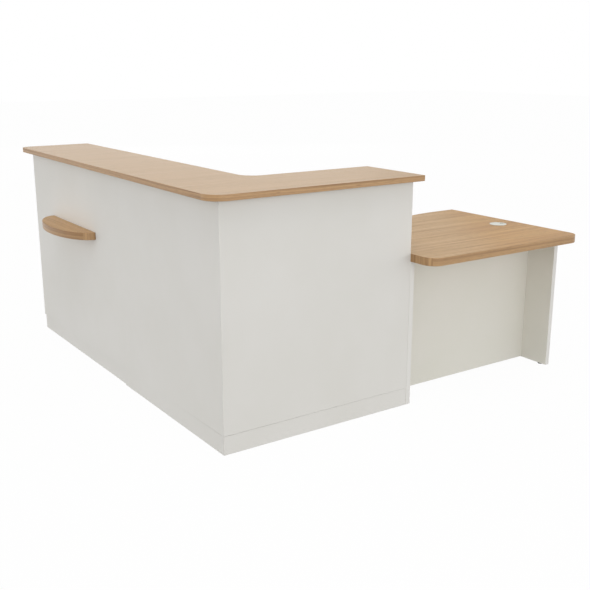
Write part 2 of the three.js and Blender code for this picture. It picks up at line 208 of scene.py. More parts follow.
# oak-effect melamine foil, printed and pressed with a fine pore: satin, straight-grained, slow bands of tone,
# narrow brown streaks and short dark pores that catch the light a little
def makeOakFoil(name, look):
    material, tree, shader = newFinish(name, {"IOR": 1.5, "Specular IOR Level": 0.5})
    uv = addNode(tree, "ShaderNodeUVMap", {"uv_map": "grain"}).outputs["UV"]
    slow = addNode(tree, "ShaderNodeMapping", None, {"Vector": uv, "Scale": (1000 / 700, 1000 / 160, 1)})
    wander = addNode(tree, "ShaderNodeTexNoise", {"noise_dimensions": "2D"},
                     {"Vector": slow.outputs[0], "Scale": 1.0, "Detail": 1.0})
    bent = addNode(tree, "ShaderNodeVectorMath", {"operation": "MULTIPLY_ADD"},
                   {0: wander.outputs["Color"], 1: (0.0, look["waver"], 0.0), 2: uv}).outputs[0]

    def figure(length, width, detail, roughness):
        stretch = addNode(tree, "ShaderNodeMapping", None,
                          {"Vector": bent, "Scale": (1000 / length, 1000 / width, 1)})
        return addNode(tree, "ShaderNodeTexNoise", {"noise_dimensions": "2D"},
                       {"Vector": stretch.outputs[0], "Scale": 1.0, "Detail": detail, "Roughness": roughness})

    bands = figure(look["bandLength"], look["bandWidth"], 3.0, 0.55)
    streaks = figure(look["streakLength"], look["streakWidth"], 4.0, 0.62)
    pores = figure(look["poreLength"], look["poreWidth"], 1.0, 0.5)
    tone = addNode(tree, "ShaderNodeValToRGB", {"stops": [
        (0.30, toLinear(look["dark"])), (0.50, toLinear(look["middle"])), (0.70, toLinear(look["light"]))]},
        {"Fac": bands.outputs["Fac"]})
    ground = tone.outputs["Color"]
    # painted light: a warmer tint multiplied over one part of the board, standing in for how the light falls there
    if look["paintedLight"]:
        tint, start, full = look["paintedLight"]
        slant = addNode(tree, "ShaderNodeVectorMath", {"operation": "DOT_PRODUCT"}, {0: bent, 1: (1.0, -0.65, 0.0)})
        paintedLightShare = addNode(tree, "ShaderNodeMapRange", {"interpolation_type": "SMOOTHSTEP"},
                       {0: slant.outputs["Value"], 1: start, 2: full, 3: 0.0, 4: 1.0})
        ground = addNode(tree, "ShaderNodeMix", {"data_type": "RGBA", "blend_type": "MULTIPLY"},
                         {0: paintedLightShare.outputs[0], 6: ground, 7: toLinear(tint)}).outputs[2]
    streakMask = addNode(tree, "ShaderNodeMapRange", None,
                         {0: streaks.outputs["Fac"], 1: look["streakFrom"], 2: 0.74, 3: 0.0, 4: look["streakDepth"]})
    poreMask = addNode(tree, "ShaderNodeMapRange", None,
                       {0: pores.outputs["Fac"], 1: 0.58, 2: 0.70, 3: 0.0, 4: look["poreDepth"]})
    streaked = addNode(tree, "ShaderNodeMix", {"data_type": "RGBA"},
                       {0: streakMask.outputs[0], 6: ground, 7: toLinear(look["line"])})
    pored = addNode(tree, "ShaderNodeMix", {"data_type": "RGBA"},
                    {0: poreMask.outputs[0], 6: streaked.outputs[2], 7: toLinear(look["pore"])})
    sheen = addNode(tree, "ShaderNodeMapRange", None,
                    {0: streaks.outputs["Fac"], 1: 0.3, 2: 0.7, 3: look["sheen"][0], 4: look["sheen"][1]})
    relief = addNode(tree, "ShaderNodeBump", {"invert": True},
                     {"Strength": 0.35, "Distance": 0.0003, "Height": poreMask.outputs[0]})
    tree.links.new(pored.outputs[2], shader.inputs["Base Color"])
    tree.links.new(sheen.outputs[0], shader.inputs["Roughness"])
    tree.links.new(relief.outputs[0], shader.inputs["Normal"])
    return material


whiteBoard = {
    "bright": "#dcdad5", "dull": "#d9d7d1",
    "cloud": 500,  # mm, slow change of tone over a sheet
    "pearl": 2.6,  # mm, drawn coarser than the real half millimetre so that it shows
}
deskBoardPaintedLight = dict(whiteBoard, bright="#e1ded5", dull="#dedcd1")  # the low desk's copy is a shade lighter to offset the shade under the desk top: painted light


# warm white melamine, pressed on a pearl-textured plate: matt, even, with a fine pebble that breaks up highlights
def makeWhiteMelamine(name, look, roughness, pebble):
    material, tree, shader = newFinish(name, {"IOR": 1.5, "Specular IOR Level": 0.4})
    place = addNode(tree, "ShaderNodeTexCoord").outputs["Object"]
    cloud = addNode(tree, "ShaderNodeTexNoise", None,
                    {"Vector": place, "Scale": 1000 / look["cloud"], "Detail": 3.0, "Roughness": 0.6})
    pearl = addNode(tree, "ShaderNodeTexNoise", None,
                    {"Vector": place, "Scale": 1000 / look["pearl"], "Detail": 2.0, "Roughness": 0.5})
    tone = addNode(tree, "ShaderNodeValToRGB", {"stops": [
        (0.35, toLinear(look["dull"])), (0.65, toLinear(look["bright"]))]}, {"Fac": cloud.outputs["Fac"]})
    gloss = addNode(tree, "ShaderNodeMapRange", None,
                    {0: pearl.outputs["Fac"], 1: 0.3, 2: 0.7, 3: roughness - 0.05, 4: roughness + 0.05})
    relief = addNode(tree, "ShaderNodeBump", None,
                     {"Strength": pebble, "Distance": 0.0004, "Height": pearl.outputs["Fac"]})
    tree.links.new(tone.outputs["Color"], shader.inputs["Base Color"])
    tree.links.new(gloss.outputs[0], shader.inputs["Roughness"])
    tree.links.new(relief.outputs[0], shader.inputs["Normal"])
    return material


pine = {
    "early": "#e2c99f", "late": "#d0ac78", "end": "#c9a673",
    "ringWidth": 5.5, "ringLength": 420,  # mm
    "fibreWidth": 0.8, "fibreLength": 30,
}


# planed pine, unfinished: pale early wood with darker late-wood lines, dry and matt, with fine fibre marks
def makePlanedPine(name, look, endGrain):
    material, tree, shader = newFinish(name, {"IOR": 1.45, "Specular IOR Level": 0.3})
    uv = addNode(tree, "ShaderNodeUVMap", {"uv_map": "grain"}).outputs["UV"]
    length = look["ringWidth"] * 6 if endGrain else look["ringLength"]
    stretch = addNode(tree, "ShaderNodeMapping", None,
                      {"Vector": uv, "Scale": (1000 / length, 1000 / look["ringWidth"], 1)})
    rings = addNode(tree, "ShaderNodeTexWave", {"wave_type": "BANDS", "bands_direction": "Y", "wave_profile": "SAW"},
                    {"Vector": stretch.outputs[0], "Scale": 0.16, "Distortion": 2.2, "Detail": 2.0,
                     "Detail Scale": 0.7})
    thin = addNode(tree, "ShaderNodeMapping", None,
                   {"Vector": uv, "Scale": (1000 / look["fibreLength"], 1000 / look["fibreWidth"], 1)})
    fibre = addNode(tree, "ShaderNodeTexNoise", {"noise_dimensions": "2D"},
                    {"Vector": thin.outputs[0], "Scale": 1.0, "Detail": 2.0})
    tone = addNode(tree, "ShaderNodeValToRGB", {"stops": [
        (0.15, toLinear(look["end"] if endGrain else look["early"])), (0.95, toLinear(look["late"]))]},
        {"Fac": rings.outputs["Fac"]})
    dry = addNode(tree, "ShaderNodeMapRange", None,
                  {0: fibre.outputs["Fac"], 1: 0.3, 2: 0.7, 3: 0.70, 4: 0.85})
    relief = addNode(tree, "ShaderNodeBump", None,
                     {"Strength": 0.3, "Distance": 0.0003, "Height": fibre.outputs["Fac"]})
    tree.links.new(tone.outputs["Color"], shader.inputs["Base Color"])
    tree.links.new(dry.outputs[0], shader.inputs["Roughness"])
    tree.links.new(relief.outputs[0], shader.inputs["Normal"])
    return material


zincPlate = {"bright": "#c9cccd", "dull": "#b2b6b9", "bloom": 9.0}  # bloom in mm


# bright zinc plate on pressed steel: cool grey metal with a faint cloudy bloom
def makeZincPlate(name, look):
    material, tree, shader = newFinish(name, {"Metallic": 1.0})
    place = addNode(tree, "ShaderNodeTexCoord").outputs["Object"]
    bloom = addNode(tree, "ShaderNodeTexNoise", None,
                    {"Vector": place, "Scale": 1000 / look["bloom"], "Detail": 3.0, "Roughness": 0.6})
    tone = addNode(tree, "ShaderNodeValToRGB", {"stops": [
        (0.35, toLinear(look["dull"])), (0.65, toLinear(look["bright"]))]}, {"Fac": bloom.outputs["Fac"]})
    gloss = addNode(tree, "ShaderNodeMapRange", None,
                    {0: bloom.outputs["Fac"], 1: 0.3, 2: 0.7, 3: 0.26, 4: 0.42})
    tree.links.new(tone.outputs["Color"], shader.inputs["Base Color"])
    tree.links.new(gloss.outputs[0], shader.inputs["Roughness"])
    return material


whiteAbs = {"bright": "#e0e1d8", "dull": "#d8d9cf", "roughness": 0.42, "spark": 1.2}
blackNylon = {"bright": "#232325", "dull": "#18181a", "roughness": 0.55, "spark": 1.0}


# moulded plastic off a spark-eroded tool: one even colour with a fine grain that softens the highlight
def makeMoulded(name, look):
    material, tree, shader = newFinish(name, {"IOR": 1.53, "Specular IOR Level": 0.5})
    place = addNode(tree, "ShaderNodeTexCoord").outputs["Object"]
    spark = addNode(tree, "ShaderNodeTexNoise", None,
                    {"Vector": place, "Scale": 1000 / look["spark"], "Detail": 2.0})
    tone = addNode(tree, "ShaderNodeValToRGB", {"stops": [
        (0.3, toLinear(look["dull"])), (0.7, toLinear(look["bright"]))]}, {"Fac": spark.outputs["Fac"]})
    gloss = addNode(tree, "ShaderNodeMapRange", None,
                    {0: spark.outputs["Fac"], 1: 0.3, 2: 0.7, 3: look["roughness"] - 0.06, 4: look["roughness"] + 0.06})
    relief = addNode(tree, "ShaderNodeBump", None,
                     {"Strength": 0.2, "Distance": 0.0002, "Height": spark.outputs["Fac"]})
    tree.links.new(tone.outputs["Color"], shader.inputs["Base Color"])
    tree.links.new(gloss.outputs[0], shader.inputs["Roughness"])
    tree.links.new(relief.outputs[0], shader.inputs["Normal"])
    return material


oakFoil = makeOakFoil("oak_melamine_foil", oakFace)
# the counter's copy carries painted sheen in its paler, less saturated tone
counterFoilPaintedSheen = makeOakFoil("oak_melamine_foil_counter_painted_sheen", oakCounterPaintedSheen)
# the low desk's copy carries a warmer zone of painted light
deskOakFoilPaintedLight = makeOakFoil("oak_melamine_foil_desk", oakDesk)
# the shelf's copy is lighter: painted light
shelfFoilPaintedLight = makeOakFoil("oak_melamine_foil_shelf_painted_light", oakShelfPaintedLight)
counterBand = makeOakFoil("oak_edge_band_counter", oakEdge)
oakBand = makeOakFoil("oak_edge_band", oakDeskEdge)
whiteFoil = makeWhiteMelamine("white_melamine_pearl", whiteBoard, 0.52, 0.16)
# the low desk's lighter copy of the white melamine: painted light that offsets the shade under the desk top
deskFoilPaintedLight = makeWhiteMelamine("white_melamine_pearl_desk", deskBoardPaintedLight, 0.52, 0.16)
whiteBand = makeWhiteMelamine("white_abs_edge_band", dict(whiteBoard, bright="#dfddd8", dull="#dcdad5"), 0.40, 0.05)
pineSide = makePlanedPine("planed_pine", pine, False)
pineEnd = makePlanedPine("sawn_pine_end", pine, True)
zincSteel = makeZincPlate("bright_zinc_plated_steel", zincPlate)
absMoulding = makeMoulded("moulded_white_abs", whiteAbs)
nylonMoulding = makeMoulded("moulded_black_polyamide", blackNylon)
print("materials ready")


# shapes

# gives a finished mesh its materials and its body, and hides the nodes that it stands for
def finishPiece(name, mesh, materials, nodes=(), body="desk"):
    for material in materials:
        mesh.materials.append(material)
    piece = bpy.data.objects.new(name, mesh)
    bpy.context.scene.collection.objects.link(piece)
    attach(piece, body)
    if nodes:
        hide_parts(*nodes)
    return piece


def toMesh(name, bm):
    mesh = bpy.data.meshes.new(name)
    bm.to_mesh(mesh)
    bm.free()
    return mesh


# an outline of (x, y, radius) corners, with each corner rounded by its own radius
def roundedOutline(corners, steps):
    points = []
    for i, (x, y, radius) in enumerate(corners):
        here = Vector((x, y))
        if radius <= 0:
            points.append(here)
            continue
        back = (Vector(corners[i - 1][:2]) - here).normalized()
        ahead = (Vector(corners[(i + 1) % len(corners)][:2]) - here).normalized()
        half = back.angle(ahead) / 2
        centre = here + (back + ahead).normalized() * (radius / math.sin(half))
        first = here + back * (radius / math.tan(half)) - centre
        last = here + ahead * (radius / math.tan(half)) - centre
        turn = first.angle_signed(last)
        for k in range(steps + 1):
            points.append(centre + Matrix.Rotation(-turn * k / steps, 2) @ first)
    return points


# a board from a plan outline: eased top and bottom edges, optional round hole, and a UV map in metres called
# grain, whose U follows the grain on the faces and the band on the edges
def planBoard(outline, low, high, ease, grain, shift, boxEdges=False, hole=None):
    bm = bmesh.new()
    count = len(outline)
    miter = []
    for i, here in enumerate(outline):
        into = (here - outline[i - 1]).normalized()
        out = (outline[(i + 1) % count] - here).normalized()
        side = Vector((into.y + out.y, -into.x - out.x)).normalized()
        miter.append(side / max(0.5, side.dot(Vector((out.y, -out.x)))))
    steps = 4
    curve = [(ease * (1 - math.sin(a)), ease * (1 - math.cos(a)))
             for a in (math.pi / 2 * k / steps for k in range(steps + 1))]
    profile = [(inset, low + rise) for inset, rise in curve]
    profile.append((0, low + 2 * ease))  # holds the edge face flat between its eased corners
    profile.append((0, high - 2 * ease))
    profile += [(inset, high - rise) for inset, rise in reversed(curve)]
    rings = []
    for inset, z in profile:
        flat = [here - side * inset for here, side in zip(outline, miter)]
        rings.append([bm.verts.new((p.x, p.y, z)) for p in flat])
    walls = []
    for under, over in zip(rings, rings[1:]):
        for i in range(count):
            k = (i + 1) % count
            walls.append(bm.faces.new((under[i], under[k], over[k], over[i])))
    holes = []
    if hole:
        centre, radius, sides = hole
        turns = [2 * math.pi * i / sides for i in range(sides)]
        for z in (low, high):
            holes.append([bm.verts.new((centre.x + radius * math.cos(a), centre.y + radius * math.sin(a), z))
                          for a in turns])
        for i in range(sides):
            k = (i + 1) % sides
            walls.append(bm.faces.new((holes[0][k], holes[0][i], holes[1][i], holes[1][k])))
    for which, ring in ((0, rings[0]), (1, rings[-1])):
        loops = [ring] + ([holes[which]] if hole else [])
        edges = [bm.edges.get((loop[i - 1], loop[i])) for loop in loops for i in range(len(loop))]
        bmesh.ops.triangle_fill(bm, use_beauty=True, edges=edges)
    bmesh.ops.recalc_face_normals(bm, faces=bm.faces)
    along = [0.0]
    for i in range(count):
        along.append(along[-1] + (outline[(i + 1) % count] - outline[i]).length)
    order = {vert: i for ring in rings for i, vert in enumerate(ring)}
    uv = bm.loops.layers.uv.new("grain")
    bm.normal_update()
    walls = set(walls)
    for face in bm.faces:
        wall = face in walls
        face.material_index = 1 if wall else 0
        face.smooth = wall
        last = wall and any(order.get(v) == count - 1 for v in face.verts)
        for loop in face.loops:
            place = loop.vert.co
            onGrain, across = (place.x, place.y) if grain == "x" else (place.y, place.x)
            if not wall:
                spot = (onGrain, across)
            elif boxEdges or loop.vert not in order:
                normal = face.normal
                ends = abs(normal.x if grain == "x" else normal.y) > abs(normal.y if grain == "x" else normal.x)
                spot = (place.z, across) if ends else (onGrain, place.z)
            else:
                i = order[loop.vert]
                spot = (along[count] if last and i == 0 else along[i], place.z)
            loop[uv].uv = (spot[0] + shift[0], spot[1] + shift[1])
    return bm


oakBoards = {
    "ease": 0.0014,
    "arcSteps": 28,
    "squareCorner": 0.0025,
    "counterDepth": 0.412, "counterRadius": 0.080, "counterEndRadius": 0.050,
    "worktopDepth": 0.5617, "worktopRadius": 0.150,
    "deskRadius": 0.065, "deskShallow": 0.725, "sweepInset": 0.138, "sweepLength": 0.800, "sweepSteps": 48,
    "portHoleRadius": 0.040,
    "shelfSteps": 96,
}


def buildOakBoards():
    ease, small, steps = oakBoards["ease"], oakBoards["squareCorner"], oakBoards["arcSteps"]

    def addBoard(node, finishes, corners, grain, shift, boxEdges=False, hole=None):
        low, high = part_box(node)
        outline = roundedOutline(corners, steps)
        bm = planBoard(outline, low.z, high.z, ease, grain, shift, boxEdges, hole)
        finishPiece(node + "_board", toMesh(node + "_board", bm), finishes, [node])

    a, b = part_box("counter_top")
    d, r = oakBoards["counterDepth"], oakBoards["counterRadius"]
    addBoard("counter_top", [counterFoilPaintedSheen, counterBand], [(a.x, a.y, r), (b.x, a.y, small), (b.x, a.y + d, small), (a.x + d, a.y + d, r),
                             (a.x + d, b.y, small), (a.x, b.y, oakBoards["counterEndRadius"])], "x", (0.0, 0.0))

    a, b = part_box("corner_worktop")
    d, r = oakBoards["worktopDepth"], oakBoards["worktopRadius"]
    addBoard("corner_worktop", [oakFoil, oakBand], [(a.x, a.y, small), (b.x, a.y, small), (b.x, a.y + d, small), (a.x + d, a.y + d, r),
                                (a.x + d, b.y, small), (a.x, b.y, small)], "x", (3.1, 1.7))

    a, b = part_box("straight_worktop")
    addBoard("straight_worktop", [oakFoil, oakBand], [(a.x, a.y, small), (b.x, a.y, small), (b.x, b.y, small), (a.x, b.y, small)],
             "y", (5.3, 2.9))

    # the staff edge of the low desk sweeps back from the corner worktop's depth to the full depth at the leg
    a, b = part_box("desk_top")
    r = oakBoards["deskRadius"]
    start = b.x - oakBoards["sweepInset"]
    end = start - oakBoards["sweepLength"]
    middle = (start + end) / 2
    deep, shallow = b.y, a.y + oakBoards["deskShallow"]
    sweep = []
    for k in range(oakBoards["sweepSteps"] + 1):
        t = k / oakBoards["sweepSteps"]
        x = (1 - t) ** 3 * start + 3 * t * (1 - t) * middle + t ** 3 * end
        y = ((1 - t) ** 3 + 3 * t * (1 - t) ** 2) * deep + (3 * t * t * (1 - t) + t ** 3) * shallow
        sweep.append((x, y, 0))
    low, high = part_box("port_liner")
    hole = ((low + high) / 2, oakBoards["portHoleRadius"], 64)
    addBoard("desk_top", [deskOakFoilPaintedLight, oakBand], [(a.x, a.y, r), (b.x, a.y, r), (b.x, b.y, small)] + sweep + [(a.x, shallow, small)],
             "x", (7.7, 4.2), True, hole)

    # half-oval bag shelf
    a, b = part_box("bag_shelf")
    centre, half, depth = (a.y + b.y) / 2, (b.y - a.y) / 2, b.x - a.x
    oval = []
    for k in range(oakBoards["shelfSteps"] + 1):
        turn = math.pi / 2 + math.pi * k / oakBoards["shelfSteps"]
        oval.append((b.x + depth * math.cos(turn), centre + half * math.sin(turn), 0))
    addBoard("bag_shelf", [shelfFoilPaintedLight, oakBand], oval, "y", (9.4, 6.6), True)


buildOakBoards()
print("oak boards ready")


boxBoards = {
    "whiteEase": 0.0003,  # melamine board with its edge band scraped flush
    "mitreClose": 0.00012,
    "pineEase": 0.0015,
    "steelEase": 0.0006,
}


# a copy of a straight-sided node with its long edges eased, and a UV map whose U runs along the grain
def easedCopy(node, ease, steps, grain):
    bm = bmesh.new()
    bm.from_mesh(frame["nodes"][node].data)
    bmesh.ops.remove_doubles(bm, verts=bm.verts, dist=1e-5)
    bmesh.ops.dissolve_limit(bm, angle_limit=math.radians(1), verts=bm.verts, edges=bm.edges)
    for face in bm.faces:
        if max(abs(c) for c in face.normal) < 0.9:  # a mitre is glued tight
            bmesh.ops.translate(bm, verts=face.verts, vec=face.normal * boxBoards["mitreClose"])
    square = [e for e in bm.edges if len(e.link_faces) == 2 and e.calc_length() > 0.0025
              and math.radians(60) < e.calc_face_angle() < math.radians(120)]  # a mitre stays sharp
    bmesh.ops.bevel(bm, geom=square, offset=ease, offset_type="OFFSET", segments=steps, profile=0.5,
                    affect="EDGES", clamp_overlap=True)
    bm.normal_update()
    uv = bm.loops.layers.uv.new("grain")
    others = [i for i in range(3) if i != grain]
    for face in bm.faces:
        face.smooth = max(abs(c) for c in face.normal) < 0.999
        main = max(range(3), key=lambda i: abs(face.normal[i]))
        for loop in face.loops:
            place = loop.vert.co
            if main == grain:
                loop[uv].uv = (place[others[0]], place[others[1]])
            else:
                loop[uv].uv = (place[grain], place[[i for i in others if i != main][0]])
    return bm


def thinAxis(node):
    low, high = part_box(node)
    return min(range(3), key=lambda i: high[i] - low[i])


def longAxis(node):
    low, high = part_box(node)
    return max(range(3), key=lambda i: high[i] - low[i])


def buildBoxBoards():
    for node in frame["nodes"]:
        slotName = next(s["material_slot"] for s in frame["record"]["subparts"] if s["node"] == node)
        if slotName == "white_board":
            thin = thinAxis(node)
            bm = easedCopy(node, boxBoards["whiteEase"], 2, longAxis(node))
            for face in bm.faces:
                face.material_index = 0 if abs(face.normal[thin]) > 0.9 else 1
            # the low desk's white panels take the lighter copy, painted light against the shade under the desk top
            foil = deskFoilPaintedLight if node.startswith("desk_") else whiteFoil
            finishPiece(node + "_board", toMesh(node + "_board", bm), [foil, whiteBand], [node])
        elif slotName == "softwood":
            grain = longAxis(node)
            bm = easedCopy(node, boxBoards["pineEase"], 2, grain)
            for face in bm.faces:
                face.material_index = 1 if abs(face.normal[grain]) > 0.9 else 0
            finishPiece(node + "_timber", toMesh(node + "_timber", bm), [pineSide, pineEnd], [node])
        elif node.startswith("desk_bracket"):
            bm = easedCopy(node, boxBoards["steelEase"], 2, 2)
            finishPiece(node + "_plate", toMesh(node + "_plate", bm), [zincSteel], [node])


buildBoxBoards()
print("white boards, timbers and brackets ready")


# a profile of (radius, height) points turned on a lathe about Z, closed on itself or at the axis
def turnedShape(profile, sides, closed):
    bm = bmesh.new()
    rings = []
    for radius, height in profile:
        if radius < 1e-6:
            rings.append([bm.verts.new((0, 0, height))] * sides)
        else:
            rings.append([bm.verts.new((radius * math.cos(2 * math.pi * i / sides),
                                        radius * math.sin(2 * math.pi * i / sides), height)) for i in range(sides)])
    pairs = list(zip(rings, rings[1:])) + ([(rings[-1], rings[0])] if closed else [])
    for inner, outer in pairs:
        for i in range(sides):
            k = (i + 1) % sides
            ring = list(dict.fromkeys((inner[i], inner[k], outer[k], outer[i])))
            if len(ring) > 2:
                bm.faces.new(ring)
    bmesh.ops.recalc_face_normals(bm, faces=bm.faces)
    for face in bm.faces:
        face.smooth = True
    for edge in bm.edges:
        edge.smooth = len(edge.link_faces) == 2 and edge.calc_face_angle(0) < math.radians(40)
    return bm


# a flat plate from an outline, with eased edges and an optional hole in it
def flatPlate(outline, low, high, ease, hole=None):
    bm = planBoard([Vector(p) for p in outline], low, high, ease, "x", (0, 0), True, hole)
    for face in bm.faces:
        face.material_index = 0
    return bm


def arcPoints(centre, radius, first, last, steps):
    return [(centre[0] + radius * math.cos(first + (last - first) * k / steps),
             centre[1] + radius * math.sin(first + (last - first) * k / steps)) for k in range(steps + 1)]


cablePort = {
    "sides": 96,
    "flange": 0.0450, "flangeEase": 0.0011,
    "outer": 0.0394, "inner": 0.0372, "ledge": 0.0347, "ledgeThickness": 0.0025,
    "slotWidth": 0.022, "slotReach": 0.020, "capClearance": 0.0006,
    "rivet": 0.0025, "rivetHead": 0.008,
    "shutterSpan": math.pi / 3, "shutterMargin": 0.002,
}


def buildCablePort():
    p = cablePort
    low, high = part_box("port_liner")
    capLow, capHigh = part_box("port_cap")
    centre = (low + high) / 2
    place = Matrix.Translation((centre.x, centre.y, 0))
    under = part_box("desk_top")[1].z + 0.0003

    # flanged liner with a ledge that the cap rests on
    seat = capLow.z - 0.0003
    ledgeFoot = seat - p["ledgeThickness"]
    profile = roundedOutline([
        (p["ledge"], ledgeFoot, 0.0004), (p["inner"], ledgeFoot, 0.0003), (p["inner"], low.z, 0.0005),
        (p["outer"], low.z, 0.0008), (p["outer"], under, 0.0001), (p["flange"], under, 0.0003),
        (p["flange"], high.z, p["flangeEase"]), (p["inner"], high.z, 0.0007), (p["inner"], seat, 0.0002),
        (p["ledge"], seat, 0.0004)], 5)
    bm = turnedShape(profile, p["sides"], True)
    bm.transform(place)
    finishPiece("port_liner_moulding", toMesh("port_liner_moulding", bm), [absMoulding], ["port_liner"])

    # cap with a cable slot that opens towards the end of the desk
    radius = p["inner"] - p["capClearance"]
    half = p["slotWidth"] / 2
    bend = radius - p["slotReach"] + half
    mouth = math.asin(half / radius)
    outline = arcPoints((0, 0), radius, mouth, 2 * math.pi - mouth, 84)
    outline += arcPoints((bend, 0), half, 1.5 * math.pi, math.pi / 2, 24)
    hole = (Vector((0, 0, 0)), p["rivet"] + 0.0003, 32)
    bm = flatPlate(outline, capLow.z, capHigh.z, 0.0005, hole)
    bm.transform(place)
    finishPiece("port_cap_moulding", toMesh("port_cap_moulding", bm), [absMoulding],
                ["port_cap"], "port_lid")

    # shutter that swings under the slot
    a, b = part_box("port_shutter")
    reach = p["ledge"] - p["shutterMargin"]
    first = math.pi / 2 - p["shutterSpan"] / 2
    outline = arcPoints((0, 0), reach, first, first + p["shutterSpan"], 32)
    outline += arcPoints((0, 0), p["rivetHead"], first + p["shutterSpan"], first + 2 * math.pi, 40)
    bm = flatPlate(outline, a.z, b.z, 0.0003, hole)
    bm.transform(place)
    finishPiece("port_shutter_moulding", toMesh("port_shutter_moulding", bm), [absMoulding],
                ["port_shutter"], "port_shutter")

    # rivet, with a shallow dished end in the cap
    a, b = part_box("port_rivet")
    headTop = a.z + 0.0012
    profile = [(0, a.z)] + [(p["rivetHead"] - 0.0005, a.z), (p["rivetHead"], a.z + 0.0005),
                            (p["rivetHead"], headTop - 0.0003), (p["rivetHead"] - 0.0003, headTop),
                            (p["rivet"], headTop), (p["rivet"], b.z - 0.0004), (p["rivet"] - 0.0004, b.z),
                            (0.0012, b.z - 0.0002), (0, b.z - 0.0003)]
    bm = turnedShape(profile, 40, False)
    bm.transform(place)
    finishPiece("port_rivet_moulding", toMesh("port_rivet_moulding", bm), [absMoulding],
                ["port_rivet"], "port_lid")


buildCablePort()
print("cable port ready")


levelFoot = {
    "sides": 48,
    "padRadius": 0.014, "padHeight": 0.0047, "padEase": 0.0012,
    "stemRadius": 0.004, "threadPitch": 0.00125, "threadDepth": 0.0006,
    "insertWall": 0.0017,
}


def buildFeet():
    f = levelFoot
    for place in ("front", "rear"):
        low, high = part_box("desk_foot_" + place)
        centre = (low + high) / 2
        move = Matrix.Translation((centre.x, centre.y, 0))
        pad = roundedOutline([(0, 0, 0), (f["padRadius"], 0, f["padEase"]), (f["padRadius"], f["padHeight"], 0.0008),
                              (f["stemRadius"], f["padHeight"], 0)], 5)
        profile = [(q.x, q.y) for q in pad]
        z = f["padHeight"]
        while z + f["threadPitch"] < high.z:  # thread drawn as rings
            profile.append((f["stemRadius"] - f["threadDepth"], z + 0.5 * f["threadPitch"]))
            profile.append((f["stemRadius"], z + f["threadPitch"]))
            z += f["threadPitch"]
        profile += [(f["stemRadius"] - 0.0006, high.z), (0, high.z)]
        bm = turnedShape(profile, f["sides"], False)
        bm.transform(move)
        name = "desk_foot_" + place + "_moulding"
        finishPiece(name, toMesh(name, bm), [nylonMoulding], ["desk_foot_" + place], "foot_" + place)

        low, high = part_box("foot_insert_" + place)
        outer = (high.x - low.x) / 2
        profile = roundedOutline([(outer - f["insertWall"], low.z, 0.0003), (outer, low.z, 0.0004),
                                  (outer, high.z, 0.0003), (outer - f["insertWall"], high.z, 0.0003)], 3)
        bm = turnedShape(profile, f["sides"], True)
        bm.transform(move)
        name = "foot_insert_" + place + "_sleeve"
        finishPiece(name, toMesh(name, bm), [zincSteel], ["foot_insert_" + place])


buildFeet()
print("levelling feet ready")


rodAndLink = {
    "sides": 40,
    "rodChamfer": 0.0008,
    "headEase": 0.0007,
    "socketAcrossFlats": 0.005, "socketDepth": 0.0018,
}


# turns a shape that stands along +Z so that it lies along another direction
def layAlong(bm, direction, origin):
    turn = Vector((0, 0, 1)).rotation_difference(Vector(direction)).to_matrix().to_4x4()
    bm.transform(Matrix.Translation(origin) @ turn)


# a round head with a hexagon socket on a plain shank: the head's face is at height 0 and the shank runs down
def socketHead(headRadius, headHeight, shankRadius, shankLength, sides, ease, flats, depth):
    bm = bmesh.new()
    circle = lambda r, z: [(r * math.cos(2 * math.pi * i / sides), r * math.sin(2 * math.pi * i / sides), z)
                           for i in range(sides)]

    def hexagon(z):
        points = []
        for i in range(sides):
            a = 2 * math.pi * i / sides
            reach = flats / 2 / math.cos((a + math.pi / 6) % (math.pi / 3) - math.pi / 6)
            points.append((reach * math.cos(a), reach * math.sin(a), z))
        return points

    shank = -headHeight - shankLength
    loops = [circle(shankRadius - 0.0005, shank), circle(shankRadius, shank + 0.0005), circle(shankRadius, -headHeight),
             circle(headRadius - 0.0002, -headHeight), circle(headRadius, -headHeight + 0.0002)]
    loops += [circle(headRadius - ease * (1 - math.cos(a)), -ease * (1 - math.sin(a)))
              for a in (math.pi / 2 * k / 4 for k in range(5))]
    loops += [hexagon(0), hexagon(-depth)]
    rings = [[bm.verts.new(p) for p in loop] for loop in loops]
    for under, over in zip(rings, rings[1:]):
        for i in range(sides):
            k = (i + 1) % sides
            bm.faces.new((under[i], under[k], over[k], over[i]))
    bm.faces.new(list(reversed(rings[0])))
    bm.faces.new(rings[-1])
    bmesh.ops.recalc_face_normals(bm, faces=bm.faces)
    for face in bm.faces:
        face.smooth = len(face.verts) == 4
    for edge in bm.edges:
        edge.smooth = len(edge.link_faces) == 2 and edge.calc_face_angle(0) < math.radians(40)
    return bm


